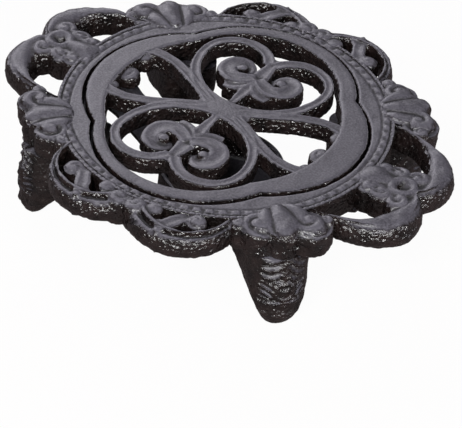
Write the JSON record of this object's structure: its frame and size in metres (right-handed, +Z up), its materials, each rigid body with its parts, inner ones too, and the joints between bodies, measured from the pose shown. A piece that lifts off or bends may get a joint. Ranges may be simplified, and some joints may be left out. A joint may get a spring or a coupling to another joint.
{
  "type": "teapot warmer",
  "caption": "Low cast-iron teapot warmer: openwork scroll frame on bracket legs, drop-in tracery grille and a candle cup hung below it.",
  "frame": {"origin": "on the floor plane at the centre of the four feet", "axes": "+Z up out of the grille, +X along the wider side of the frame, -Y to the front as pictured"},
  "size_m": [0.162, 0.1402, 0.0416],
  "materials": {
    "cast_iron": "as cast, dark, with a satin coat",
    "screw_steel": "blackened"
  },
  "bodies": {
    "base": {"frame": "cast_iron", "candle_cup": "cast_iron", "leg_front_right": "cast_iron", "leg_back_right": "cast_iron", "leg_back_left": "cast_iron", "leg_front_left": "cast_iron", "leg_screw_front_right": "screw_steel", "leg_screw_back_right": "screw_steel", "leg_screw_back_left": "screw_steel", "leg_screw_front_left": "screw_steel", "cup_screw_left": "screw_steel", "cup_screw_right": "screw_steel"},
    "grille": {"grille": "cast_iron"}
  },
  "joints": [
    {"name": "grille_lift", "type": "slide", "parent": "base", "child": "grille", "axis": [0, 0, 1], "range_m": [0, 0.02]}
  ]
}
